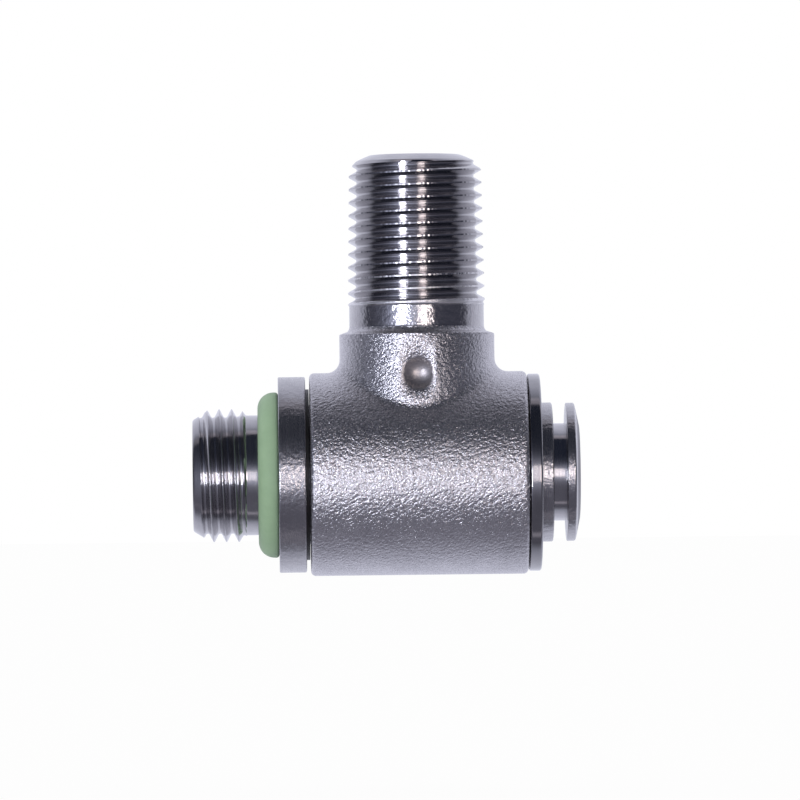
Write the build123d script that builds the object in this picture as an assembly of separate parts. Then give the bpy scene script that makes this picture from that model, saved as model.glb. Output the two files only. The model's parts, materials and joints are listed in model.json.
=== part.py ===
from build123d import *
import os

# A small swivel fitting. A hollow stem with a parallel pipe thread is screwed into a port and stays
# still. A forged body with a taper pipe thread on its branch turns on the stem. A tube is pushed into
# the stem's other end, where the claws of a slotted collet grip it. All sizes are in millimetres.
# The origin is on the stem's axis, at the inner end of the port thread. The stem runs along +X towards
# the tube, and the branch stands up along +Z. The threads are plain blanks of their outer diameter.

# Port thread and the neck behind it
port_thread_diameter = 9.728
port_thread_length = 2.95
port_lead_in = 0.9
port_bore_diameter = 6.0
port_bore_chamfer = 0.25
run_out_length = 0.3
relief_diameter = 8.7
relief_length = 0.87

# Seal ring in front of the collar
port_seal_diameter = 12.0
port_seal_width = 1.49
port_seal_nose_radius = 1.15
port_seal_edge_radius = 0.2
port_seal_neck_gap = 0.05

# Collar and shaft of the stem; the collar is set back from the body all round
collar_setback = 0.26
collar_thickness = 1.98
collar_chamfer = 0.18
shaft_diameter = 10.1

# Barrel of the forged body, and its play on the stem
body_diameter = 14.72
body_left_reach = 7.86
body_right_reach = 7.91
body_end_rounding = 0.35
body_bore_chamfer = 0.3
running_clearance = 0.05
axial_play = 0.05
front_gap = 0.30
disc_gap = 0.06

# Branch of the body
boss_diameter = 11.26
boss_rise = 3.02
shoulder_drop = 0.25
boss_rounding = 0.12
blend_radius = 0.95
branch_neck_diameter = 9.77
branch_neck_length = 1.80
branch_gauge_diameter = 9.728
branch_gauge_start = 2.0
branch_gauge_length = 4.0
branch_thread_length = 10.0
branch_taper = 1 / 16
branch_end_chamfer = 0.95
branch_bore_diameter = 6.0
branch_bore_chamfer = 0.25

# Dimple on the front of the boss
dimple_diameter = 2.4
dimple_depth = 0.55
dimple_height = 7.2

# Flow chamber between stem and body
chamber_width = 5.6
chamber_depth = 0.8
cross_hole_diameter = 2.4
cross_hole_count = 3
cross_hole_setback = 1.6

# Ring seals between stem and body
stem_seal_height = 1.03
stem_seal_width = 1.32
stem_seal_bevel = 0.3
stem_seal_side_gap = 0.19
stem_seal_offset = 4.95
seal_contact_gap = 0.02

# Slide rings between stem and body
front_washer_width = 1.1
rear_washer_width = 1.2
rear_washer_recess = 0.8
rear_washer_side_gap = 0.1

# Disc that keeps the body on the stem, set back from the body all round
disc_setback = 0.2
disc_thickness = 0.88
disc_rounding = 0.2
disc_seat_step = 0.2

# Drive socket and tube seat inside the stem
hex_across_flats = 5.0
hex_length = 4.0
tube_diameter = 6.0
tube_stop_setback = 0.2
tube_seat_clearance = 0.05

# Flanged bush in the mouth of the stem
mouth_wall = 0.4
guide_flange_diameter = 10.1
guide_flange_thickness = 0.87
guide_spigot_length = 3.6
guide_edge_chamfer = 0.14
guide_lip = 0.25
guide_cone_length = 1.92

# Release collet
collet_neck_diameter = 7.07
collet_neck_shown = 1.01
collet_flange_diameter = 10.03
collet_flange_thickness = 0.95
collet_rim_width = 0.46
collet_rim_rounding = 0.2
collet_dome_drop = 0.26
collet_crest_width = 0.3
collet_mouth_depth = 0.3
collet_bore_clearance = 0.1
collet_guide_clearance = 0.1
collet_stop_gap = 0.05
claw_reach = 0.13
claw_count = 6
claw_slot_width = 0.4
claw_slot_length = 2.9
claw_bite = 0.15
claw_tooth_length = 0.35
claw_tooth_ramp = 0.3

# Tube seal and the ring that backs it
claw_chamber_clearance = 0.15
tube_seal_squeeze = 0.15
tube_seal_side_gap = 0.05
support_ring_thickness = 0.7
support_ring_chamfer = 0.15
support_ring_gap = 0.1

# Radii that several pieces share
port_thread_radius = port_thread_diameter / 2
relief_radius = relief_diameter / 2
shaft_radius = shaft_diameter / 2
body_radius = body_diameter / 2
collar_radius = body_radius - collar_setback
disc_radius = body_radius - disc_setback
body_bore_radius = shaft_radius + running_clearance
disc_seat_radius = shaft_radius - disc_seat_step
mouth_radius = disc_seat_radius - mouth_wall
collet_neck_radius = collet_neck_diameter / 2
guide_bore_radius = collet_neck_radius + collet_guide_clearance
cone_mouth_radius = mouth_radius - guide_lip
claw_head_radius = cone_mouth_radius - collet_guide_clearance
seal_chamber_radius = claw_head_radius + claw_chamber_clearance
tube_radius = tube_diameter / 2
tube_bore_radius = tube_radius + tube_seat_clearance
collet_bore_radius = tube_radius + collet_bore_clearance
front_groove_radius = body_bore_radius - seal_contact_gap - stem_seal_height
rear_groove_radius = shaft_radius + seal_contact_gap + stem_seal_height
rear_washer_radius = body_bore_radius + rear_washer_width

# Places along the stem, each stacked on the one before
stem_tip = -(port_thread_length + port_lead_in)
collar_face = relief_length + port_seal_width
collar_back = collar_face + collar_thickness
body_left = collar_back + front_gap
branch_x = body_left + body_left_reach
body_right = branch_x + body_right_reach
disc_face = body_right + disc_gap
disc_back = disc_face + disc_thickness
guide_end = disc_back + guide_flange_thickness
flange_face = guide_end + collet_neck_shown
flange_end = flange_face + collet_flange_thickness

# Places inside the stem, stacked from its mouth inwards
release_travel = collet_neck_shown - collet_stop_gap
guide_start = disc_back - guide_spigot_length
cone_end = guide_start + guide_cone_length
claw_end = guide_start - claw_reach
support_ring_back = claw_end - release_travel - support_ring_gap
support_ring_face = support_ring_back - support_ring_thickness
tube_seal_inner_radius = tube_radius - tube_seal_squeeze
tube_seal_section = seal_chamber_radius - seal_contact_gap - tube_seal_inner_radius
tube_seal_start = support_ring_face - tube_seal_section - 2 * tube_seal_side_gap
tube_stop = branch_x - tube_stop_setback
hex_start = tube_stop - hex_length
stem_groove_width = stem_seal_width + 2 * stem_seal_side_gap

# Heights on the branch, each stacked on the one before
shoulder_height = body_radius + boss_rise
thread_start = shoulder_height + branch_neck_length
gauge_low = thread_start + branch_gauge_start
gauge_high = gauge_low + branch_gauge_length
chamfer_start = thread_start + branch_thread_length
branch_top = chamfer_start + branch_end_chamfer


def turned(outline):
    """Solid that an outline of (x, radius) points sweeps out round the stem's axis."""
    return revolve(Plane.XZ * make_face(Polyline(*outline, close=True)), Axis.X)


def bar(radius, start, end):
    """Round bar on the stem's axis."""
    upright = Cylinder(radius, end - start, align=(Align.CENTER, Align.CENTER, Align.MIN))
    return Pos(start, 0, 0) * Rot(0, 90, 0) * upright


def ring(inner_radius, outer_radius, start, end):
    """Flat ring on the stem's axis."""
    return bar(outer_radius, start, end) - bar(inner_radius, start, end)


def stem_outside():
    """Outer shape of the stem: thread blank, relief, collar, shaft with a seal groove, and disc seat."""
    groove_middle = branch_x - stem_seal_offset
    groove_left = groove_middle - stem_groove_width / 2
    groove_right = groove_middle + stem_groove_width / 2
    return turned([
        (stem_tip, 0),
        (stem_tip, port_thread_radius - port_lead_in),
        (stem_tip + port_lead_in, port_thread_radius),
        (0, port_thread_radius),
        (run_out_length, relief_radius),
        (collar_face, relief_radius),
        (collar_face, collar_radius - collar_chamfer),
        (collar_face + collar_chamfer, collar_radius),
        (collar_back - collar_chamfer, collar_radius),
        (collar_back, collar_radius - collar_chamfer),
        (collar_back, shaft_radius),
        (groove_left, shaft_radius),
        (groove_left, front_groove_radius),
        (groove_right, front_groove_radius),
        (groove_right, shaft_radius),
        (disc_face, shaft_radius),
        (disc_face, disc_seat_radius),
        (disc_back, disc_seat_radius),
        (disc_back, 0),
    ])


def stem_inside():
    """Hollow of the stem: port bore, hexagon socket, tube seat, seal chamber and mouth."""
    port_bore_radius = port_bore_diameter / 2
    port_mouth = turned([
        (stem_tip, 0),
        (stem_tip, port_bore_radius + port_bore_chamfer),
        (stem_tip + port_bore_chamfer, port_bore_radius),
        (hex_start, port_bore_radius),
        (hex_start, 0),
    ])
    hexagon = RegularPolygon(hex_across_flats / 2, 6, major_radius=False)
    socket = Pos(hex_start, 0, 0) * Rot(0, 90, 0) * extrude(hexagon, hex_length)
    tube_seat = bar(tube_bore_radius, tube_stop, tube_seal_start)
    seal_chamber = bar(seal_chamber_radius, tube_seal_start, guide_start)
    mouth = bar(mouth_radius, guide_start, disc_back)
    return port_mouth + socket + tube_seat + seal_chamber + mouth


def cross_holes():
    """Holes from the stem's bore out to the flow chamber."""
    hole = Cylinder(cross_hole_diameter / 2, body_bore_radius, align=(Align.CENTER, Align.CENTER, Align.MIN))
    place = Pos(branch_x - cross_hole_setback, 0, 0)
    return [Rot(360 * i / cross_hole_count, 0, 0) * place * hole for i in range(cross_hole_count)]


def stem():
    return stem_outside() - stem_inside() - cross_holes()


def port_seal():
    """Moulded ring with a flat back on the collar and a wide rounded nose towards the thread."""
    inner = relief_radius + port_seal_neck_gap
    outer = port_seal_diameter / 2
    height = outer - inner
    section = Pos(collar_face - port_seal_width / 2, (inner + outer) / 2) * Rectangle(port_seal_width, height)
    nose = section.vertices().group_by(Axis.X)[0].sort_by(Axis.Y)[-1]
    nose_radius = min(port_seal_nose_radius, 0.9 * port_seal_width, 0.9 * height - port_seal_edge_radius)
    section = fillet(nose, nose_radius)
    heel = section.vertices().group_by(Axis.Y)[0].sort_by(Axis.X)[0]
    section = fillet(heel, port_seal_edge_radius)
    crown = section.vertices().group_by(Axis.X)[-1].sort_by(Axis.Y)[-1]
    section = fillet(crown, port_seal_edge_radius)
    return revolve(Plane.XZ * section, Axis.X)


def barrel():
    """Turned and rounded barrel that the branch grows from."""
    section = Rectangle(body_right - body_left, body_radius, align=(Align.MIN, Align.MIN))
    section = Pos(body_left, 0) * section
    section = fillet(section.vertices().group_by(Axis.Y)[-1], body_end_rounding)
    return revolve(Plane.XZ * section, Axis.X)


def branch():
    """Neck and blank of the taper thread above the boss; the blank is a plain cylinder at its gauge land."""
    gauge_radius = branch_gauge_diameter / 2
    foot_radius = gauge_radius + (gauge_low - thread_start) * branch_taper / 2
    tip_radius = gauge_radius - (chamfer_start - gauge_high) * branch_taper / 2
    outline = Polyline(
        (0, shoulder_height),
        (branch_neck_diameter / 2, shoulder_height),
        (branch_neck_diameter / 2, thread_start),
        (foot_radius, thread_start),
        (gauge_radius, gauge_low),
        (gauge_radius, gauge_high),
        (tip_radius, chamfer_start),
        (tip_radius - branch_end_chamfer, branch_top),
        (0, branch_top),
        close=True,
    )
    return Pos(branch_x, 0, 0) * revolve(Plane.XZ * make_face(outline), Axis.Z)


def boss():
    """Round boss under the branch; its shoulder slopes down from the neck to a rounded edge."""
    section = make_face(Polyline(
        (0, 0),
        (boss_diameter / 2, 0),
        (boss_diameter / 2, shoulder_height - shoulder_drop),
        (branch_neck_diameter / 2, shoulder_height),
        (0, shoulder_height),
        close=True,
    ))
    edge = section.vertices().group_by(Axis.X)[-1].sort_by(Axis.Y)[-1]
    section = fillet(edge, boss_rounding)
    return Pos(branch_x, 0, 0) * revolve(Plane.XZ * section, Axis.Z)


def forging():
    """Barrel and boss with the blend between them, the branch on top and the dimple in front."""
    tube = barrel()
    post = boss()
    body = tube + post
    body = fillet(new_edges(tube, post, combined=body), blend_radius)
    half_width = dimple_diameter / 2
    ball_radius = (half_width ** 2 + dimple_depth ** 2) / (2 * dimple_depth)
    ball_y = -(boss_diameter / 2 + ball_radius - dimple_depth)
    dimple = Pos(branch_x, ball_y, dimple_height) * Sphere(ball_radius)
    return body + branch() - dimple


def body_inside():
    """Bore for the stem with its lead-in, flow chamber, seal groove and slide ring recess."""
    chamber_radius = body_bore_radius + chamber_depth
    chamber = bar(chamber_radius, branch_x - chamber_width / 2, branch_x + chamber_width / 2)
    groove_middle = branch_x + stem_seal_offset
    groove = bar(
        rear_groove_radius, groove_middle - stem_groove_width / 2, groove_middle + stem_groove_width / 2
    )
    recess = bar(rear_washer_radius + rear_washer_side_gap, body_right - rear_washer_recess, body_right)
    bore = turned([
        (body_left, 0),
        (body_left, body_bore_radius + body_bore_chamfer),
        (body_left + body_bore_chamfer, body_bore_radius),
        (body_right, body_bore_radius),
        (body_right, 0),
    ])
    return bore + chamber + groove + recess


def branch_bore():
    """Bore of the branch, from the flow chamber to the chamfered top."""
    radius = branch_bore_diameter / 2
    outline = Polyline(
        (0, 0),
        (radius, 0),
        (radius, branch_top - branch_bore_chamfer),
        (radius + branch_bore_chamfer, branch_top),
        (0, branch_top),
        close=True,
    )
    return Pos(branch_x, 0, 0) * revolve(Plane.XZ * make_face(outline), Axis.Z)


def swivel_body():
    return forging() - body_inside() - branch_bore()


def front_thrust_washer():
    start = collar_back
    end = body_left - axial_play
    return ring(body_bore_radius, body_bore_radius + front_washer_width, start, end)


def rear_thrust_washer():
    start = body_right - rear_washer_recess + axial_play
    return ring(body_bore_radius, rear_washer_radius, start, disc_face)


def squeezed_seal(inner_radius, middle):
    """Ring seal between stem and body, squeezed flat on its four sides."""
    start = middle - stem_seal_width / 2
    end = middle + stem_seal_width / 2
    outer_radius = inner_radius + stem_seal_height
    return turned([
        (start, inner_radius + stem_seal_bevel),
        (start, outer_radius - stem_seal_bevel),
        (start + stem_seal_bevel, outer_radius),
        (end - stem_seal_bevel, outer_radius),
        (end, outer_radius - stem_seal_bevel),
        (end, inner_radius + stem_seal_bevel),
        (end - stem_seal_bevel, inner_radius),
        (start + stem_seal_bevel, inner_radius),
    ])


def front_stem_seal():
    return squeezed_seal(front_groove_radius, branch_x - stem_seal_offset)


def rear_stem_seal():
    return squeezed_seal(shaft_radius + seal_contact_gap, branch_x + stem_seal_offset)


def retaining_disc():
    """Thin disc pressed on its seat; only its outer edges are rounded."""
    width = disc_radius - disc_seat_radius
    section = Rectangle(disc_thickness, width, align=(Align.MIN, Align.MIN))
    section = Pos(disc_face, disc_seat_radius) * section
    section = fillet(section.vertices().group_by(Axis.Y)[-1], disc_rounding)
    return revolve(Plane.XZ * section, Axis.X)


def collet_guide_ring():
    """Bush pressed in the stem's mouth: its flange holds the disc, and its cone closes the claws."""
    flange_radius = guide_flange_diameter / 2
    return turned([
        (guide_start, cone_mouth_radius),
        (guide_start, mouth_radius),
        (disc_back, mouth_radius),
        (disc_back, flange_radius),
        (guide_end - guide_edge_chamfer, flange_radius),
        (guide_end, flange_radius - guide_edge_chamfer),
        (guide_end, guide_bore_radius + guide_edge_chamfer),
        (guide_end - guide_edge_chamfer, guide_bore_radius),
        (cone_end, guide_bore_radius),
    ])


def collet_sleeve():
    """Unslotted collet: claw head with its tooth, cone, neck and domed flange with a rounded mouth."""
    flange_radius = collet_flange_diameter / 2
    rim = (flange_face + collet_rim_width, flange_radius)
    dome_edge = (rim[0] + collet_rim_rounding, flange_radius - collet_dome_drop)
    crest = (flange_end, collet_bore_radius + collet_crest_width)
    lip = (flange_end - collet_mouth_depth, collet_bore_radius)
    tooth_radius = tube_radius - claw_bite
    outside = Polyline(
        (claw_end, tooth_radius),
        (claw_end, claw_head_radius - claw_reach),
        (guide_start, claw_head_radius),
        (cone_end, collet_neck_radius),
        (flange_face, collet_neck_radius),
        (flange_face, flange_radius),
        rim,
    )
    rim_centre = (rim[0], dome_edge[1])
    rounded_rim = EllipticalCenterArc(rim_centre, collet_rim_rounding, collet_dome_drop, arc_size=90)
    dome = Line(dome_edge, crest)
    mouth = RadiusArc(crest, lip, collet_mouth_depth)
    inside = Polyline(
        lip,
        (claw_end + claw_tooth_length + claw_tooth_ramp, collet_bore_radius),
        (claw_end + claw_tooth_length, tooth_radius),
        (claw_end, tooth_radius),
    )
    return revolve(Plane.XZ * make_face(outside + rounded_rim + dome + mouth + inside), Axis.X)


def release_collet():
    """Collet whose inner end is slotted into springy claws."""
    slot = Pos(claw_end, 0, 0) * Box(
        claw_slot_length, claw_slot_width, 2 * claw_head_radius, align=(Align.MIN, Align.CENTER, Align.MIN)
    )
    slots = [Rot(360 * i / claw_count, 0, 0) * slot for i in range(claw_count)]
    return collet_sleeve() - slots


def tube_seal():
    """Ring seal that the tube passes through."""
    minor_radius = tube_seal_section / 2
    middle = tube_seal_start + tube_seal_side_gap + minor_radius
    return Pos(middle, 0, 0) * Rot(0, 90, 0) * Torus(tube_seal_inner_radius + minor_radius, minor_radius)


def seal_support_ring():
    """Flat ring pressed in the seal chamber, with a chamfered hole for the tube."""
    return turned([
        (support_ring_face, collet_bore_radius),
        (support_ring_face, seal_chamber_radius),
        (support_ring_back, seal_chamber_radius),
        (support_ring_back, collet_bore_radius + support_ring_chamfer),
        (support_ring_back - support_ring_chamfer, collet_bore_radius),
    ])


pieces = [
    stem,
    port_seal,
    front_thrust_washer,
    swivel_body,
    front_stem_seal,
    rear_stem_seal,
    rear_thrust_washer,
    retaining_disc,
    collet_guide_ring,
    release_collet,
    tube_seal,
    seal_support_ring,
]

os.makedirs("parts", exist_ok=True)
for piece in pieces:
    export_step(piece(), f"parts/{piece.__name__}.step")
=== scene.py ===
import json
import math

import bmesh
import bpy
import numpy as np
from mathutils import Matrix, Vector

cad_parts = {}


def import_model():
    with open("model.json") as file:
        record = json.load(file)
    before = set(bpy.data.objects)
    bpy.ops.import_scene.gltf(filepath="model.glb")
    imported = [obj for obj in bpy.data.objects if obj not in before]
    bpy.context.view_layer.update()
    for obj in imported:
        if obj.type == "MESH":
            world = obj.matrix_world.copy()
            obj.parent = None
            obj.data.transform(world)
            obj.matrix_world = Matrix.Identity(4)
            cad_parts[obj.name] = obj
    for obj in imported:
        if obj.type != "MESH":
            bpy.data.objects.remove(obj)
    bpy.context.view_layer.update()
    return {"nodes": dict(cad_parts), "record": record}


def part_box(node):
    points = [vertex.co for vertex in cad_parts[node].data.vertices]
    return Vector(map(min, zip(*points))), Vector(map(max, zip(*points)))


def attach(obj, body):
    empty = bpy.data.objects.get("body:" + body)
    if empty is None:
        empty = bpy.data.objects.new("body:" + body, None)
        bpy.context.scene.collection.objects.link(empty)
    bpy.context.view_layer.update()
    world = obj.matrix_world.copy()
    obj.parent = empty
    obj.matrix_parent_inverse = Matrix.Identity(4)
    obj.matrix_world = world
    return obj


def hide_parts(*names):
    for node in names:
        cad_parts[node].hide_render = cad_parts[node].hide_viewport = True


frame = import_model()
nodes = frame["nodes"]

# Everything below is in millimetres until a mesh is made
MM = 0.001
TAU = 2 * math.pi
LOW, HIGH = 0, 1


def side(node, end, axis):
    """Place of the low or high side of a CAD node's box along an axis."""
    return round(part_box(node)[end][axis] / MM, 3)


def mount_place(name, axis):
    """Place of a mount of the record along an axis."""
    places = {mount["name"]: mount["pos_m"] for mount in frame["record"]["mounts"]}
    return round(places[name][axis] / MM, 3)


# Lengths that the frame doesn't give
hex_length = 4.0
tube_seat_length = 2.08
guide_cone_length = 1.92
flange_thickness = 0.95
gauge_start = 2.0
branch_neck_length = 1.80

# Places along the stem
stem_tip = side("stem", LOW, 0)
seal_nose = side("port_seal", LOW, 0)
collar_face = side("port_seal", HIGH, 0)
collar_back = side("front_thrust_washer", LOW, 0)
tube_stop = mount_place("tube_socket", 0)
hex_start = tube_stop - hex_length
tube_seal_start = tube_stop + tube_seat_length
guide_start = side("collet_guide_ring", LOW, 0)
cone_end = guide_start + guide_cone_length
disc_face = side("retaining_disc", LOW, 0)
disc_back = side("retaining_disc", HIGH, 0)
guide_end = side("collet_guide_ring", HIGH, 0)
flange_end = side("release_collet", HIGH, 0)
flange_face = flange_end - flange_thickness

# Heights on the branch
branch_x = mount_place("branch_thread", 0)
branch_top = side("swivel_body", HIGH, 2)
thread_start = mount_place("branch_thread", 2) - gauge_start
shoulder_height = thread_start - branch_neck_length

# Radii of the CAD solids
relief_radius = 4.35
collar_radius = 7.10
shaft_radius = 5.05
disc_radius = 7.16
disc_seat_radius = 4.85
mouth_radius = 4.45
seal_chamber_radius = 4.25
guide_bore_radius = 3.635
tube_bore_radius = 3.05
port_bore_radius = 3.0
collet_neck_radius = 3.535
collet_flange_radius = 5.015
collet_bore_radius = 3.10
branch_neck_radius = 4.885
branch_bore_radius = 3.0


# Mesh helpers
def finish_mesh(name, mesh, sharp_angle=34):
    """Object from a mesh in metres, smooth except along edges sharper than the angle."""
    mesh.validate()
    for face in mesh.polygons:
        face.use_smooth = True
    mesh.set_sharp_from_angle(angle=math.radians(sharp_angle))
    piece = bpy.data.objects.new(name, mesh)
    bpy.context.scene.collection.objects.link(piece)
    return piece


def rounded_outline(corners, steps=5):
    """Closed outline of (x, r) points from corners (x, r, rounding), with support points beside each arc."""
    points = []
    count = len(corners)
    for i in range(count):
        x, r, rounding = corners[i]
        here = Vector((x, r))
        before = Vector(corners[i - 1][:2]) - here
        after = Vector(corners[(i + 1) % count][:2]) - here
        angle = before.angle(after)
        if rounding <= 0 or angle > math.pi - 0.02:
            points.append(tuple(here))
            continue
        reach = rounding / math.tan(angle / 2)
        reach = min(reach, 0.85 * before.length, 0.85 * after.length)
        rounding = reach * math.tan(angle / 2)
        before.normalize()
        after.normalize()
        middle = here + (before + after).normalized() * (rounding / math.sin(angle / 2))
        first = here + before * reach
        last = here + after * reach
        support = min(0.02, 0.2 * reach)
        points.append(tuple(first + before * support))
        a = first - middle
        b = last - middle
        turn = a.angle_signed(b)
        for k in range(steps + 1):
            t = -turn * k / steps
            c, s = math.cos(t), math.sin(t)
            points.append((middle.x + c * a.x - s * a.y, middle.y + s * a.x + c * a.y))
        points.append(tuple(last + after * support))
    return points


def swept(name, columns, axis, closed_turn, sharp_angle=34):
    """Object from columns of (along, radius) points, one column per angle, each column a closed outline."""
    count = len(columns)
    rows = len(columns[0])
    vertices = []
    for i, column in enumerate(columns):
        angle = TAU * i / (count if closed_turn else count - 1)
        c, s = math.cos(angle), math.sin(angle)
        for along, r in column:
            if axis == "x":
                vertices.append((along * MM, r * c * MM, r * s * MM))
            else:
                vertices.append(((branch_x + r * c) * MM, r * s * MM, along * MM))
    faces = []
    for i in range(count if closed_turn else count - 1):
        j = (i + 1) % count
        for k in range(rows):
            m = (k + 1) % rows
            faces.append((i * rows + k, j * rows + k, j * rows + m, i * rows + m))
    mesh = bpy.data.meshes.new(name)
    mesh.from_pydata(vertices, [], faces)
    work = bmesh.new()
    work.from_mesh(mesh)
    bmesh.ops.remove_doubles(work, verts=work.verts, dist=2e-7)
    bmesh.ops.recalc_face_normals(work, faces=work.faces)
    work.to_mesh(mesh)
    work.free()
    return finish_mesh(name, mesh, sharp_angle)


def turned(name, corners, segments=192, steps=5):
    """Ring turned on the stem's axis from corners (along, radius, rounding)."""
    outline = rounded_outline(corners, steps)
    return swept(name, [outline] * segments, "x", True)


def along_line(x, points):
    """Value at x on a line through (x, value) points."""
    return float(np.interp(x, [p[0] for p in points], [p[1] for p in points]))


def thread_rows(start, end, pitch, base, turn, crest, depth, envelope, samples):
    """Column of (along, radius) points of a right-hand thread at one angle, turn being 0 to 1."""
    rows = []
    first = math.floor((start - base) / pitch) - 2
    last = math.ceil((end - base) / pitch) + 1
    offsets = [offset for offset, share in samples] + [1.0]
    shares = [share for offset, share in samples] + [samples[0][1]]
    for k in range(first, last + 1):
        for offset in offsets[:-1]:
            along = base + pitch * (k + turn + offset)
            place = min(max(along, start), end)
            phase = ((place - base) / pitch - turn) % 1.0
            r = crest(place) - depth(place) * float(np.interp(phase, offsets, shares))
            rows.append((place, min(r, envelope(place))))
    return rows


def thread_profile(pitch, flank_angle, crest_radius, root_radius, arc_steps=4):
    """(offset, depth share) samples of one pitch from crest to crest, and the depth, from a rounded V."""
    slope = math.radians(flank_angle)
    crest_half = crest_radius * math.sin(slope)
    root_half = root_radius * math.sin(slope)
    flank_run = pitch / 2 - crest_half - root_half
    crest_drop = crest_radius * (1 - math.cos(slope))
    root_drop = root_radius * (1 - math.cos(slope))
    depth = crest_drop + flank_run * math.tan(slope) + root_drop
    half = []
    for i in range(arc_steps + 1):
        a = slope * i / arc_steps
        half.append((crest_radius * math.sin(a), crest_radius * (1 - math.cos(a))))
    for t in (0.25, 0.5, 0.75):
        half.append((crest_half + t * flank_run, crest_drop + t * flank_run * math.tan(slope)))
    for i in range(arc_steps + 1):
        a = slope * (1 - i / arc_steps)
        half.append((pitch / 2 - root_radius * math.sin(a), depth - root_radius * (1 - math.cos(a))))
    other = [(pitch - along, cut) for along, cut in half[-2:0:-1]]
    return [(along / pitch, cut / depth) for along, cut in half + other], depth


# Stem: its port thread, relief neck, collar, shaft and hollow in one swept mesh
port_pitch = 0.907
port_crest_radius = 4.83
port_crest_place = -0.33
hex_half = 2.5
on_hexagon = -1
seal_groove_start, seal_groove_end, seal_groove_radius = 6.70, 8.40, 4.05
relief_join = 0.8


def stem_columns(segments):
    """Outline of the stem at each angle: the thread and the hexagon change with it, the rest is round."""
    samples, depth = thread_profile(port_pitch, 62.5, 0.05, 0.17)

    # Points of (place, largest radius) at the thread's two ends, and of (place, thread depth) for the run-out
    lead_in = [(stem_tip, 4.0), (-3.75, 4.1), (-3.35, 4.34), (-3.0, 4.56), (-2.65, 4.86), (0.5, 4.9)]
    run_out = [(-0.9, depth), (-0.2, 0.8 * depth), (0.05, 0.7 * depth)]
    end_line = [(-0.40, 4.9), (-0.25, 4.72), (0.0, 4.37), (0.06, relief_radius), (1.0, relief_radius)]

    def envelope(x):
        return min(along_line(x, lead_in), along_line(x, end_line))

    outer = rounded_outline([
        (relief_join, relief_radius, 0),
        (collar_face, relief_radius, 0.06),
        (collar_face, collar_radius, 0.10),
        (collar_back, collar_radius, 0.13),
        (collar_back, shaft_radius, 0.05),
        (seal_groove_start, shaft_radius, 0.03),
        (seal_groove_start, seal_groove_radius, 0.05),
        (seal_groove_end, seal_groove_radius, 0.05),
        (seal_groove_end, shaft_radius, 0.03),
        (disc_face, shaft_radius, 0.05),
        (disc_face, disc_seat_radius, 0.05),
        (disc_back, disc_seat_radius, 0.03),
        (disc_back, mouth_radius, 0.03),
        (guide_start, mouth_radius, 0),
        (guide_start, seal_chamber_radius, 0),
        (tube_seal_start, seal_chamber_radius, 0.03),
        (tube_seal_start, tube_bore_radius, 0.05),
        (tube_stop, tube_bore_radius, 0),
        (tube_stop, on_hexagon, 0),
        (hex_start, on_hexagon, 0),
        (hex_start, port_bore_radius, 0.05),
        (stem_tip + 0.25, port_bore_radius, 0),
        (stem_tip, port_bore_radius + 0.25, 0.05),
    ])
    columns = []
    for i in range(segments + 1):
        turn = i / segments
        around = (turn * 360 + 30) % 60 - 30
        hexagon = hex_half / math.cos(math.radians(around))
        rows = thread_rows(
            stem_tip, relief_join, port_pitch, port_crest_place, turn,
            lambda x: port_crest_radius, lambda x: along_line(x, run_out), envelope, samples,
        )
        rest = [(x, hexagon if r == on_hexagon else r) for x, r in outer]
        columns.append(rows + rest[1:])
    return columns


stem = swept("stem_turned", stem_columns(216), "x", False)
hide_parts("stem")
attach(stem, "stem_assembly")

# Seal ring: flat back on the collar, wide nose towards the thread
seal_outer_radius, seal_inner_radius = 6.00, 4.40
port_seal = turned("port_seal_ring", [
    (collar_face, seal_inner_radius, 0.1),
    (collar_face, seal_outer_radius, 0.22),
    (seal_nose, seal_outer_radius, 1.15),
    (seal_nose, seal_inner_radius, 0.2),
], steps=10)
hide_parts("port_seal")
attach(port_seal, "stem_assembly")

# Disc that keeps the body on the stem
disc = turned("retaining_disc_polished", [
    (disc_face, disc_seat_radius, 0.03),
    (disc_face, disc_radius, 0.12),
    (disc_back, disc_radius, 0.18),
    (disc_back, disc_seat_radius, 0.03),
], segments=256, steps=8)
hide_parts("retaining_disc")
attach(disc, "stem_assembly")

# Bush in the stem's mouth; its flange is the small collar right of the disc
guide = turned("collet_guide_turned", [
    (guide_start, 4.20, 0.04),
    (guide_start, mouth_radius, 0.04),
    (disc_back, mouth_radius, 0.03),
    (disc_back, shaft_radius, 0.04),
    (guide_end, shaft_radius, 0.12),
    (guide_end, guide_bore_radius, 0.14),
    (cone_end, guide_bore_radius, 0.1),
])
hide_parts("collet_guide_ring")
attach(guide, "stem_assembly")


# Copies of CAD meshes cut at a plane and closed again
def cut_copy(name, node, point, normal):
    """Mesh of a CAD node's part on the side of the plane that the normal points away from."""
    work = bmesh.new()
    work.from_mesh(nodes[node].data)
    bmesh.ops.remove_doubles(work, verts=work.verts, dist=1e-7)
    everything = list(work.verts) + list(work.edges) + list(work.faces)
    cut = bmesh.ops.bisect_plane(
        work, geom=everything, dist=1e-8, plane_co=point, plane_no=normal, clear_outer=True
    )
    edges = [g for g in cut["geom_cut"] if isinstance(g, bmesh.types.BMEdge)]
    bmesh.ops.bridge_loops(work, edges=edges)
    bmesh.ops.recalc_face_normals(work, faces=work.faces)
    mesh = bpy.data.meshes.new(name)
    work.to_mesh(mesh)
    work.free()
    return mesh


# Body: the forged barrel and boss come from the solid, the neck and thread above the shoulder are swept
forging_mesh = cut_copy(
    "swivel_body_forged", "swivel_body",
    (branch_x * MM, 0, (shoulder_height + 0.002) * MM), (0, 0, 1),
)
forging = finish_mesh("swivel_body_forged", forging_mesh, 40)
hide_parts("swivel_body")
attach(forging, "swivel")

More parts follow.
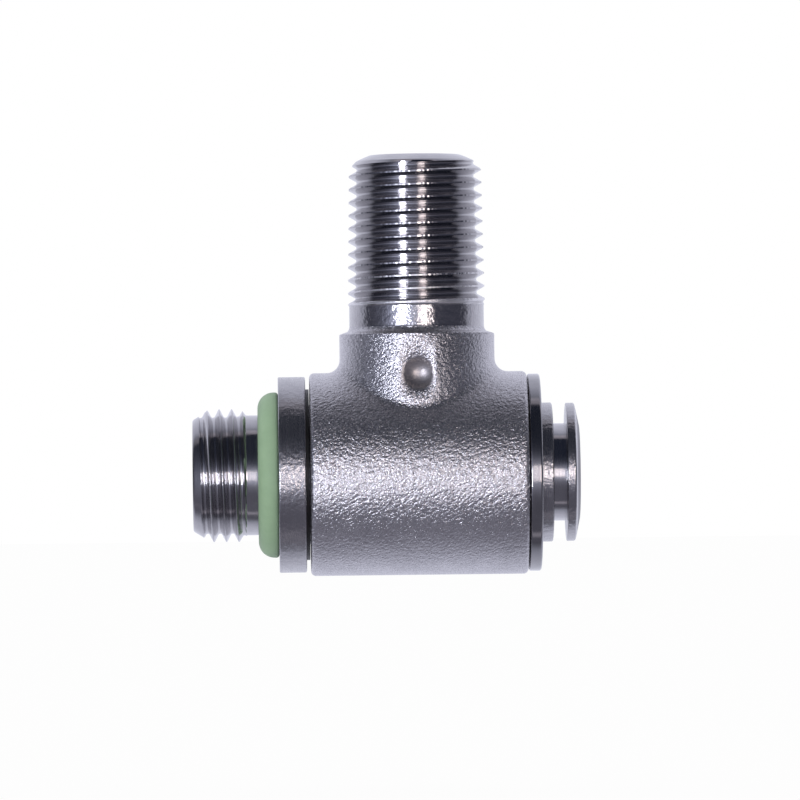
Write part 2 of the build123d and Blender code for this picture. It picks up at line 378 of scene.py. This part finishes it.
# Neck and thread of the branch
branch_pitch = 0.9407
branch_crest_place = 0.42
crest_foot, crest_foot_radius, crest_taper_run = 12.5, 5.0, 60


def branch_crest(z):
    """Radius of the branch thread's crests, a little smaller towards the top."""
    return crest_foot_radius - (z - crest_foot) / crest_taper_run


def branch_columns(segments):
    """Outline of the branch above the shoulder at each angle; the crests are blunted by an uneven amount."""
    samples, depth = thread_profile(branch_pitch, 60, 0.06, 0.15)
    foot_width = 0.42
    foot_height = 0.50
    foot_steps = 8
    low = shoulder_height - 0.001
    neck = branch_neck_radius

    # Points of (place, largest radius) at the thread's two ends, and of (place, thread depth) above the neck
    neck_end = [(thread_start - 0.1, neck), (thread_start, neck), (thread_start + 0.12, 4.97), (13.5, 5.2)]
    top_end = [(20.0, 5.2), (21.9, 4.86), (22.3, 4.66), (22.7, 4.28), (22.95, 3.75), (branch_top, 3.3)]
    fade = [(thread_start - 0.05, 0.0), (thread_start + 0.1, 0.1), (thread_start + 0.55, depth)]

    def envelope(z):
        return min(along_line(z, neck_end), along_line(z, top_end))

    rest = rounded_outline([
        (branch_top - 0.02, branch_bore_radius + 0.30, 0),
        (branch_top, branch_bore_radius + 0.25, 0),
        (branch_top - 0.25, branch_bore_radius, 0.05),
        (low, branch_bore_radius, 0),
        (low, neck + 0.05, 0),
        (low - 0.20, neck + 0.05, 0),
        (low - 0.20, neck + foot_width, 0),
    ])
    for k in range(foot_steps + 1):
        a = math.radians(90 * k / foot_steps)
        rest.append((low - 0.15 + foot_height * (1 - math.cos(a)), neck + foot_width * (1 - math.sin(a))))
    chance = np.random.default_rng(11)
    blunt = [0.03 + 0.025 * chance.random() for i in range(segments)]
    columns = []
    for i in range(segments + 1):
        rows = thread_rows(
            shoulder_height + 0.4, branch_top - 0.02, branch_pitch, branch_crest_place, i / segments,
            branch_crest, lambda z: along_line(z, fade),
            lambda z: min(envelope(z), branch_crest(z) - blunt[i % segments]), samples,
        )
        columns.append(rows + rest[1:])
    return columns


branch = swept("branch_threaded", branch_columns(320), "z", False)
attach(branch, "swivel")

# Release collet: the slotted claws come from the solid, the neck and flange are turned
collet_join = 20.90
claws_mesh = cut_copy("collet_claws", "release_collet", (collet_join * MM, 0, 0), (1, 0, 0))
claws = finish_mesh("collet_claws", claws_mesh, 34)
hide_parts("release_collet")
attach(claws, "collet")
collet = turned("collet_flange_turned", [
    (collet_join, collet_bore_radius, 0),
    (collet_join, collet_neck_radius, 0),
    (flange_face, collet_neck_radius, 0.05),
    (flange_face, collet_flange_radius, 0.05),
    (flange_face + 0.60, collet_flange_radius, 0.16),
    (flange_face + 0.70, 4.62, 0.5),
    (flange_end, 3.42, 0.3),
    (flange_end, collet_bore_radius, 0.28),
], steps=8)
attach(collet, "collet")


# Materials
def new_material(name):
    """Material with one Principled shader, its node tree and that shader."""
    material = bpy.data.materials.new(name)
    material.use_nodes = True
    tree = material.node_tree
    tree.nodes.clear()
    out = tree.nodes.new("ShaderNodeOutputMaterial")
    shader = tree.nodes.new("ShaderNodeBsdfPrincipled")
    tree.links.new(shader.outputs[0], out.inputs[0])
    return material, tree, shader


def coordinates(tree, scale=(1, 1, 1)):
    """Object coordinates in metres, times a factor per axis."""
    place = tree.nodes.new("ShaderNodeTexCoord")
    mapping = tree.nodes.new("ShaderNodeMapping")
    mapping.inputs["Scale"].default_value = scale
    tree.links.new(place.outputs["Object"], mapping.inputs["Vector"])
    return mapping.outputs[0]


def noise(tree, vector, scale, detail, rough):
    """Noise from 0 to 1, with its scale in features per metre."""
    n = tree.nodes.new("ShaderNodeTexNoise")
    n.inputs["Scale"].default_value = scale
    n.inputs["Detail"].default_value = detail
    n.inputs["Roughness"].default_value = rough
    tree.links.new(vector, n.inputs["Vector"])
    return n.outputs[0]


def remap(tree, value, low, high, to_low, to_high):
    """Value mapped from one range to another, and kept inside it."""
    m = tree.nodes.new("ShaderNodeMapRange")
    for i, v in enumerate((low, high, to_low, to_high)):
        m.inputs[i + 1].default_value = v
    tree.links.new(value, m.inputs[0])
    return m.outputs[0]


def mix_colours(tree, share, a, b):
    """Colour between a and b, each a colour or a socket, by a share that runs from 0 to 1."""
    mix = tree.nodes.new("ShaderNodeMix")
    mix.data_type = "RGBA"
    for socket, colour in zip(mix.inputs[6:8], (a, b)):
        if isinstance(colour, tuple):
            socket.default_value = (*colour, 1)
        else:
            tree.links.new(colour, socket)
    tree.links.new(share, mix.inputs[0])
    return mix.outputs[2]


def bump(tree, height, distance, under=None):
    """Normal bent by a height from 0 to 1 times a distance in millimetres."""
    b = tree.nodes.new("ShaderNodeBump")
    b.inputs["Strength"].default_value = 1.0
    b.inputs["Distance"].default_value = distance * MM
    tree.links.new(height, b.inputs["Height"])
    if under is not None:
        tree.links.new(under, b.inputs["Normal"])
    return b.outputs[0]


def place_mask(tree, centre, flatten, low, high):
    """1 within low and 0 beyond high of a centre, in millimetres; flatten has 0 for each axis left out."""
    place = tree.nodes.new("ShaderNodeTexCoord")
    shift = tree.nodes.new("ShaderNodeVectorMath")
    shift.operation = "SUBTRACT"
    shift.inputs[1].default_value = Vector(centre) * MM
    tree.links.new(place.outputs["Object"], shift.inputs[0])
    flat = tree.nodes.new("ShaderNodeVectorMath")
    flat.operation = "MULTIPLY"
    flat.inputs[1].default_value = flatten
    tree.links.new(shift.outputs[0], flat.inputs[0])
    far = tree.nodes.new("ShaderNodeVectorMath")
    far.operation = "LENGTH"
    tree.links.new(flat.outputs[0], far.inputs[0])
    return remap(tree, far.outputs["Value"], low * MM, high * MM, 1, 0)


def blend(tree, share, a, b):
    """Number between a and b by a share that runs from 0 to 1."""
    mix = tree.nodes.new("ShaderNodeMix")
    for socket, value in zip(mix.inputs[2:4], (a, b)):
        if isinstance(value, (int, float)):
            socket.default_value = value
        else:
            tree.links.new(value, socket)
    tree.links.new(share, mix.inputs[0])
    return mix.outputs[0]


def nickel(name, tones, rough, axis, stretch, line_height, grain_scale, grain_height, painted_patch=None):
    """Nickel plate turned about an axis: tarnish in two tones, fine grooves round the axis and a grain.

    The roughness runs between two values, stretch draws highlights out along the grooves, and the last
    argument gives the share, roughness and colour of a patch where painted highlight or painted shade
    replaces the metal's colour.
    """
    material, tree, shader = new_material(name)
    shader.inputs["Metallic"].default_value = 1.0
    shader.inputs["Anisotropic"].default_value = stretch
    shader.inputs["Anisotropic Rotation"].default_value = 0.25
    round_axis = tree.nodes.new("ShaderNodeTangent")
    round_axis.direction_type = "RADIAL"
    round_axis.axis = axis
    tree.links.new(round_axis.outputs[0], shader.inputs["Tangent"])
    plain = coordinates(tree)
    patches = noise(tree, plain, 420, 4, 0.6)
    tone = mix_colours(tree, remap(tree, patches, 0.35, 0.65, 0, 1), *tones)
    stretched = [0.02, 0.02, 0.02]
    stretched["XYZ".index(axis)] = 1.0
    lines = noise(tree, coordinates(tree, stretched), 9000, 4, 0.7)
    roughness = remap(tree, lines, 0.3, 0.7, *rough)
    grain = noise(tree, plain, grain_scale, 3, 0.6)
    if painted_patch is not None:
        # Patch of painted highlight or painted shade: its colour and roughness replace the metal's inside its
        # mask
        mask, painted_rough, painted_colour = painted_patch(tree)
        roughness = blend(tree, mask, roughness, painted_rough)
        tone = mix_colours(tree, mask, tone, painted_colour)
    tree.links.new(tone, shader.inputs["Base Color"])
    tree.links.new(roughness, shader.inputs["Roughness"])
    grooves = bump(tree, lines, line_height)
    tree.links.new(bump(tree, grain, grain_height, grooves), shader.inputs["Normal"])
    return material


def branch_crests_painted_highlight(tree):
    """Rough crests on the lower turns of the branch thread, their lighter colour a painted highlight."""
    height_share = 1 / 60
    inside = place_mask(tree, (branch_x, 0, 0), (1, 1, height_share), 4.92, 4.94)
    return remap(tree, inside, 0, 1, 1, 0), 0.42, (0.92, 0.91, 0.93)


def collet_dome_painted_shade(tree):
    """Duller, rougher domed end of the collet, its darker colour a painted shade."""
    inner = place_mask(tree, (0, 0, 0), (1, 0, 0), flange_face + 0.66, flange_face + 0.76)
    return remap(tree, inner, 0, 1, 1, 0), 0.42, (0.24, 0.235, 0.25)


plate_tones = ((0.465, 0.458, 0.475), (0.55, 0.542, 0.555))
disc_tones = ((0.345, 0.341, 0.355), (0.425, 0.420, 0.432))
branch_tones = ((0.470, 0.460, 0.475), (0.55, 0.540, 0.552))
nickel_turned = nickel(
    "nickel_turned", plate_tones, rough=(0.20, 0.29), axis="X", stretch=0.25,
    line_height=0.001, grain_scale=3000, grain_height=0.040,
)
nickel_collet = nickel(
    "nickel_collet", plate_tones, rough=(0.18, 0.27), axis="X", stretch=0.3,
    line_height=0.001, grain_scale=3600, grain_height=0.032, painted_patch=collet_dome_painted_shade,
)
nickel_port = nickel(
    "nickel_port_thread", plate_tones, rough=(0.12, 0.20), axis="X", stretch=0.85,
    line_height=0.0005, grain_scale=2200, grain_height=0.005,
)
nickel_disc = nickel(
    "nickel_disc", disc_tones, rough=(0.12, 0.18), axis="X", stretch=0.90,
    line_height=0.0005, grain_scale=1200, grain_height=0.001,
)
nickel_branch = nickel(
    "nickel_branch", branch_tones, rough=(0.07, 0.18), axis="Z", stretch=0.0,
    line_height=0.0015, grain_scale=2200, grain_height=0.007, painted_patch=branch_crests_painted_highlight,
)
nickel_neck = nickel(
    "nickel_neck", branch_tones, rough=(0.08, 0.17), axis="Z", stretch=0.0,
    line_height=0.0015, grain_scale=2600, grain_height=0.040,
)


def blasted():
    """Forged and sand-blasted nickel with a leathery grain; the pressed dimple is smoother and browner."""
    material, tree, shader = new_material("nickel_blasted")
    shader.inputs["Metallic"].default_value = 1.0
    plain = coordinates(tree)
    slanted = tree.nodes.new("ShaderNodeMapping")
    slanted.vector_type = "TEXTURE"
    slanted.inputs["Rotation"].default_value = (0, math.radians(-38), 0)
    slanted.inputs["Scale"].default_value = (1.35, 1, 0.85)
    tree.links.new(plain, slanted.inputs["Vector"])
    coarse = noise(tree, slanted.outputs[0], 4600, 1.5, 0.5)
    fine = noise(tree, plain, 8600, 2, 0.6)
    patches = noise(tree, plain, 300, 4, 0.6)
    tarnish = remap(tree, patches, 0.3, 0.7, 0, 1)
    tone = mix_colours(tree, tarnish, (0.585, 0.574, 0.600), (0.69, 0.677, 0.704))
    dimple = place_mask(tree, (branch_x, -5.45, 7.2), (1, 1, 1), 1.12, 1.26)
    tree.links.new(mix_colours(tree, dimple, tone, (0.62, 0.58, 0.57)), shader.inputs["Base Color"])
    grainy = remap(tree, fine, 0.3, 0.7, 0.23, 0.36)
    tree.links.new(blend(tree, dimple, grainy, 0.42), shader.inputs["Roughness"])
    grains = bump(tree, fine, 0.042, bump(tree, coarse, 0.072))
    soft = bump(tree, coarse, 0.010)
    pick = tree.nodes.new("ShaderNodeMix")
    pick.data_type = "VECTOR"
    tree.links.new(dimple, pick.inputs[0])
    tree.links.new(grains, pick.inputs[4])
    tree.links.new(soft, pick.inputs[5])
    tree.links.new(pick.outputs[1], shader.inputs["Normal"])
    return material


def rubber(name, dark, light, rough, patch_scale):
    """Moulded rubber or plastic in two near tones, with a very fine grain."""
    material, tree, shader = new_material(name)
    plain = coordinates(tree)
    patches = noise(tree, plain, patch_scale, 5, 0.65)
    tone = mix_colours(tree, remap(tree, patches, 0.3, 0.7, 0, 1), dark, light)
    tree.links.new(tone, shader.inputs["Base Color"])
    fine = noise(tree, plain, 9000, 3, 0.6)
    tree.links.new(remap(tree, fine, 0.3, 0.7, rough, rough + 0.12), shader.inputs["Roughness"])
    tree.links.new(bump(tree, fine, 0.006), shader.inputs["Normal"])
    return material


blasted_nickel = blasted()
green_rubber = rubber("green_rubber", (0.265, 0.40, 0.255), (0.305, 0.45, 0.29), 0.5, 700)
black_rubber = rubber("black_rubber", (0.012, 0.012, 0.013), (0.03, 0.03, 0.032), 0.45, 900)
dark_plastic = rubber("dark_plastic", (0.02, 0.02, 0.022), (0.045, 0.045, 0.05), 0.35, 600)


def dress(piece, material):
    """One material for the whole piece."""
    piece.data.materials.clear()
    piece.data.materials.append(material)


def dress_below(piece, material, axis, limit):
    """One more material, for the faces of a piece whose middle is below the limit along an axis."""
    piece.data.materials.append(material)
    for face in piece.data.polygons:
        if face.center[axis] < limit * MM:
            face.material_index = len(piece.data.materials) - 1


for piece, material in (
    (stem, nickel_turned), (guide, nickel_turned), (collet, nickel_collet), (claws, nickel_port),
    (disc, nickel_disc), (branch, nickel_branch), (forging, blasted_nickel), (port_seal, green_rubber),
):
    dress(piece, material)
dress_below(stem, nickel_port, 0, collar_face - 0.04)
dress_below(collet, nickel_port, 0, flange_face - 0.02)
dress_below(branch, nickel_neck, 2, thread_start + 0.05)
dress_below(branch, blasted_nickel, 2, shoulder_height + 0.25)
for name, material in (
    ("front_stem_seal", black_rubber), ("rear_stem_seal", black_rubber), ("tube_seal", black_rubber),
    ("front_thrust_washer", dark_plastic), ("rear_thrust_washer", dark_plastic),
    ("seal_support_ring", dark_plastic),
):
    cad = nodes[name]
    if cad.data.materials:
        cad.material_slots[0].material = material
    else:
        cad.data.materials.append(material)


def floor():
    """Pale floor, as low as the branch reaches when the body turns, so that it hides nothing at any pose."""
    lowest = -math.hypot(branch_top, branch_bore_radius + 0.35) * MM
    reach = 3.0
    mesh = bpy.data.meshes.new("floor")
    mesh.from_pydata(
        [(-reach, -reach, lowest), (reach, -reach, lowest), (reach, reach, lowest), (-reach, reach, lowest)],
        [], [(0, 1, 2, 3)],
    )
    plane = bpy.data.objects.new("floor", mesh)
    bpy.context.scene.collection.objects.link(plane)
    material = bpy.data.materials.new("pale_floor")
    material.use_nodes = True
    tree = material.node_tree
    tree.nodes.clear()
    out = tree.nodes.new("ShaderNodeOutputMaterial")
    plain = tree.nodes.new("ShaderNodeBsdfDiffuse")
    plain.inputs["Color"].default_value = (0.8, 0.8, 0.8, 1)
    glow = tree.nodes.new("ShaderNodeEmission")
    glow.inputs["Color"].default_value = (1, 1, 1, 1)
    glow.inputs["Strength"].default_value = 1.0
    path = tree.nodes.new("ShaderNodeLightPath")
    share = tree.nodes.new("ShaderNodeMath")
    share.operation = "MULTIPLY"
    share.inputs[1].default_value = 0.93
    tree.links.new(path.outputs["Is Camera Ray"], share.inputs[0])
    mix = tree.nodes.new("ShaderNodeMixShader")
    tree.links.new(share.outputs[0], mix.inputs[0])
    tree.links.new(plain.outputs[0], mix.inputs[1])
    tree.links.new(glow.outputs[0], mix.inputs[2])
    tree.links.new(mix.outputs[0], out.inputs[0])
    mesh.materials.append(material)
    plane.visible_glossy = False


def world():
    """White all round, with a pale backdrop and a dim room with soft glows for what the metal mirrors."""
    w = bpy.data.worlds.new("studio")
    bpy.context.scene.world = w
    w.use_nodes = True
    tree = w.node_tree
    tree.nodes.clear()
    out = tree.nodes.new("ShaderNodeOutputWorld")
    place = tree.nodes.new("ShaderNodeTexCoord")
    parts = tree.nodes.new("ShaderNodeSeparateXYZ")
    tree.links.new(place.outputs["Generated"], parts.inputs[0])
    right, away, up = parts.outputs

    def op(kind, a, b=None):
        """Result of a math operation on one or two numbers or sockets."""
        m = tree.nodes.new("ShaderNodeMath")
        m.operation = kind
        for i, v in enumerate((a, b)):
            if isinstance(v, (int, float)):
                m.inputs[i].default_value = v
            elif v is not None:
                tree.links.new(v, m.inputs[i])
        return m.outputs[0]

    def ramp(value, low, high, stops):
        """Colour along stops of (value, colour)."""
        r = tree.nodes.new("ShaderNodeValToRGB")
        while len(r.color_ramp.elements) < len(stops):
            r.color_ramp.elements.new(0.5)
        for element, (at, colour) in zip(r.color_ramp.elements, stops):
            element.position = (at - low) / (high - low)
            element.color = (*colour, 1)
        tree.links.new(remap(tree, value, low, high, 0, 1), r.inputs[0])
        return r.outputs[0]

    def scaled(colour, factor):
        """Colour or socket times a factor."""
        product = tree.nodes.new("ShaderNodeVectorMath")
        product.operation = "SCALE"
        if isinstance(colour, tuple):
            product.inputs[0].default_value = colour
        else:
            tree.links.new(colour, product.inputs[0])
        tree.links.new(factor, product.inputs["Scale"])
        return product.outputs[0]

    def add(a, b):
        """Sum of two colours."""
        total = tree.nodes.new("ShaderNodeVectorMath")
        total.operation = "ADD"
        tree.links.new(a, total.inputs[0])
        tree.links.new(b, total.inputs[1])
        return total.outputs[0]

    def glow(x0, z0, wide, tall, strength, colour):
        """Soft patch of light in front of the object, at a direction and with half widths as sines."""
        a = op("DIVIDE", op("SUBTRACT", right, x0), wide)
        b = op("DIVIDE", op("SUBTRACT", up, z0), tall)
        square = op("ADD", op("MULTIPLY", a, a), op("MULTIPLY", b, b))
        fall = op("POWER", math.e, op("MULTIPLY", square, -1.0))
        front = remap(tree, away, -0.3, 0.0, strength, 0)
        return scaled(colour, op("MULTIPLY", fall, front))

    reach = op("ADD", away, op("MULTIPLY", right, 0.06))
    backdrop = ramp(reach, 0.0, 1.0, [
        (0.02, (0.0, 0.0, 0.0)), (0.10, (0.19, 0.195, 0.235)), (0.20, (0.40, 0.41, 0.49)),
        (0.33, (0.55, 0.56, 0.67)), (0.50, (0.69, 0.70, 0.82)), (0.80, (0.83, 0.845, 0.98)),
    ])
    room = ramp(up, -1.0, 1.0, [
        (-0.45, (0.145, 0.142, 0.178)), (-0.20, (0.105, 0.105, 0.137)), (0.05, (0.066, 0.068, 0.096)),
        (0.35, (0.040, 0.0435, 0.066)), (0.65, (0.0175, 0.0215, 0.038)),
    ])
    light = add(backdrop, scaled(room, remap(tree, reach, 0.0, 0.12, 1, 0)))
    light = add(light, glow(-0.12, -0.05, 0.30, 0.26, 0.70, (0.82, 0.85, 1.04)))
    light = add(light, glow(-0.50, -0.07, 0.26, 0.33, 1.0, (0.79, 0.84, 1.10)))
    light = add(light, glow(0.22, -0.05, 0.17, 0.22, 0.85, (0.95, 0.87, 0.94)))

    # Bright edges of the backdrop above and below the object
    height = op("ABSOLUTE", up)
    steep = remap(tree, height, 0.55, 0.8, 0, 1)
    lean = op("DIVIDE", away, height)
    for sign, low, high, strength in ((1, -0.06, 0.12, 0.42), (-1, -0.26, -0.14, 0.30)):
        middle, half = (low + high) / 2, (high - low) / 2
        inside = remap(tree, op("ABSOLUTE", op("SUBTRACT", lean, middle)), half - 0.03, half + 0.03, 1, 0)
        half_room = op("GREATER_THAN", op("MULTIPLY", up, sign), 0.0)
        share = op("MULTIPLY", op("MULTIPLY", inside, half_room), steep)
        light = add(light, scaled((0.85 * strength, 0.78 * strength, 0.86 * strength), share))

    mirrored = tree.nodes.new("ShaderNodeBackground")
    tree.links.new(light, mirrored.inputs["Color"])
    white = tree.nodes.new("ShaderNodeBackground")
    white.inputs["Color"].default_value = (1, 1, 1, 1)
    path = tree.nodes.new("ShaderNodeLightPath")

    def choose(share, a, b):
        """Light of node b for a share of 1, and of node a for 0."""
        mix = tree.nodes.new("ShaderNodeMixShader")
        tree.links.new(share, mix.inputs[0])
        tree.links.new(a.outputs[0], mix.inputs[1])
        tree.links.new(b.outputs[0], mix.inputs[2])
        return mix

    seen = op("MAXIMUM", path.outputs["Is Camera Ray"], path.outputs["Is Transmission Ray"])
    both = choose(seen, choose(path.outputs["Is Glossy Ray"], white, mirrored), white)
    tree.links.new(both.outputs[0], out.inputs[0])


def soft_box(name, azimuth, elevation, wide, tall, radiance, colour):
    """Lamp aimed at the object; azimuth is to the right of the camera, all angles in degrees."""
    distance = 0.9
    light = bpy.data.lights.new(name, "AREA")
    light.shape = "RECTANGLE"
    light.size = 2 * distance * math.tan(math.radians(wide / 2))
    light.size_y = 2 * distance * math.tan(math.radians(tall / 2))
    light.energy = radiance * math.pi * light.size * light.size_y
    light.color = colour
    lamp = bpy.data.objects.new(name, light)
    bpy.context.scene.collection.objects.link(lamp)
    a, e = math.radians(azimuth), math.radians(elevation)
    target = Vector((branch_x, 0, 4)) * MM
    way = Vector((math.sin(a) * math.cos(e), -math.cos(a) * math.cos(e), math.sin(e)))
    lamp.location = target + way * distance
    lamp.rotation_euler = way.to_track_quat("Z", "Y").to_euler()


# Studio
floor()
world()
soft_box(
    "soft_box_left", azimuth=-25.5, elevation=-7, wide=12, tall=20, radiance=19.0, colour=(0.90, 0.92, 1.0)
)
soft_box(
    "soft_box_right", azimuth=12.5, elevation=-2, wide=12, tall=18, radiance=5.2, colour=(1.0, 0.88, 0.82)
)

# Camera at the photograph's angle: far away, a little below the branch, with a small roll
camera_data = bpy.data.cameras.new("camera")
camera_data.sensor_width = 36
camera_data.lens = 360
camera_data.clip_start = 0.05
camera_data.clip_end = 20
camera = bpy.data.objects.new("camera", camera_data)
bpy.context.scene.collection.objects.link(camera)
camera.location = Vector((2.1, -581, -1.2)) * MM
target = Vector((11.23, 0, 5.35)) * MM
roll = math.radians(-0.65)
aim = (camera.location - target).to_track_quat("Z", "Y").to_matrix()
camera.rotation_euler = (aim @ Matrix.Rotation(roll, 3, "Z")).to_euler()
bpy.context.scene.camera = camera
bpy.context.scene.view_settings.view_transform = "Standard"
